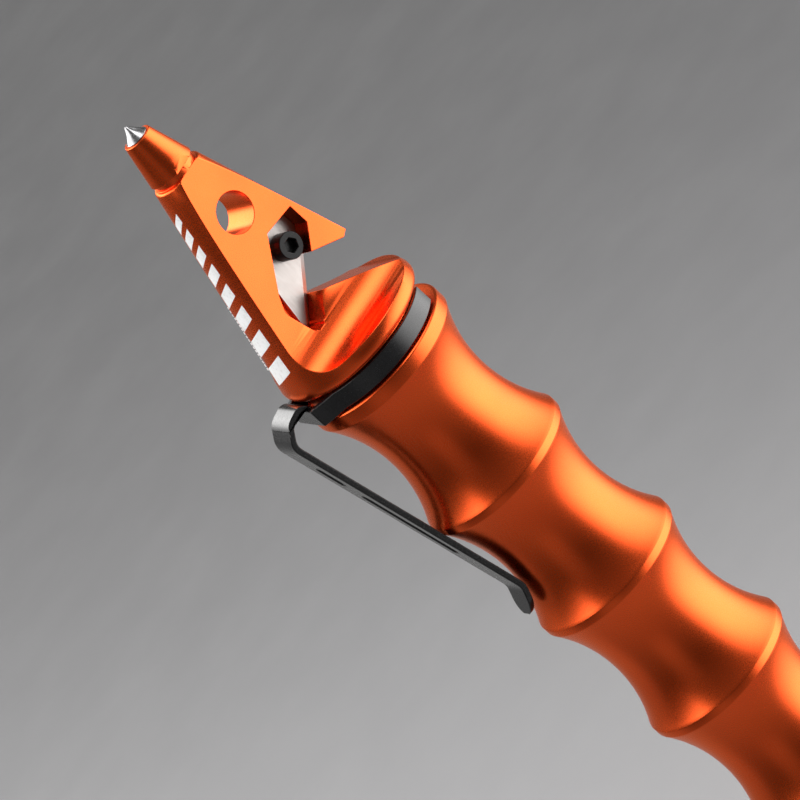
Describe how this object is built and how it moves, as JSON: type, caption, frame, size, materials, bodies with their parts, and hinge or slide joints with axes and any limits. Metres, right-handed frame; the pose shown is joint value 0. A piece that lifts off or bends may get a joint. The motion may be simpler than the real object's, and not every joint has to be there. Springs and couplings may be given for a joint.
{
  "type": "vehicle rescue tool",
  "caption": "Slim aluminium rescue tool with a pointed glass breaker, a hooked belt cutter, a pocket clip and a scalloped handle that stows a steel cable.",
  "frame": {"origin": "centre of the tail cap's flat end face", "axes": "+Z along the tool's axis to the glass-breaking point, +X to the open side of the cutter's mouth, -Y out of the face that shows the blade's screw"},
  "size_m": [0.0323, 0.026, 0.1773],
  "materials": {
    "orange_anodise": "fine bead-blasted orange anodise, satin",
    "carbide": "ground hard insert, satin",
    "blade_steel": "brushed flat with a bright ground bevel",
    "black_oxide": "black oxide, matte",
    "black_clip": "smooth black coating, glossy",
    "cable_steel": "twisted bright steel wires",
    "turned_steel": "turned steel",
    "bronze": "turned bronze",
    "seal_rubber": "black rubber"
  },
  "bodies": {
    "handle": {"handle_tube": "orange_anodise", "mouth_bush": "bronze", "bush_snap_ring": "turned_steel", "stop_bumper": "seal_rubber", "tail_cap": "orange_anodise", "tail_seal_ring": "seal_rubber", "rear_bumper": "seal_rubber"},
    "plunger": {"stop_plunger": "turned_steel", "plunger_cap": "turned_steel", "swivel_washer": "bronze", "plunger_seal_rings": "seal_rubber"},
    "head": {"cutter_head": "orange_anodise", "glass_breaker_tip": "carbide", "cutter_blade": "blade_steel", "blade_screw": "black_oxide", "head_seal_ring": "seal_rubber", "whip_cable": "cable_steel", "cable_grub_screws": "black_oxide", "cable_ferrule": "turned_steel"},
    "clip": {"pocket_clip": "black_clip"}
  },
  "joints": [
    {"name": "whip_pull", "type": "slide", "parent": "handle", "child": "plunger", "axis": [0, 0, 1], "range_m": [0, 0.0911]},
    {"name": "head_turn", "type": "hinge", "parent": "plunger", "child": "head", "pos_m": [0, 0, 0.131], "axis": [0, 0, 1], "continuous": true},
    {"name": "clip_swivel", "type": "hinge", "parent": "handle", "child": "clip", "pos_m": [0, 0, 0.12875], "axis": [0, 0, 1], "continuous": true}
  ]
}
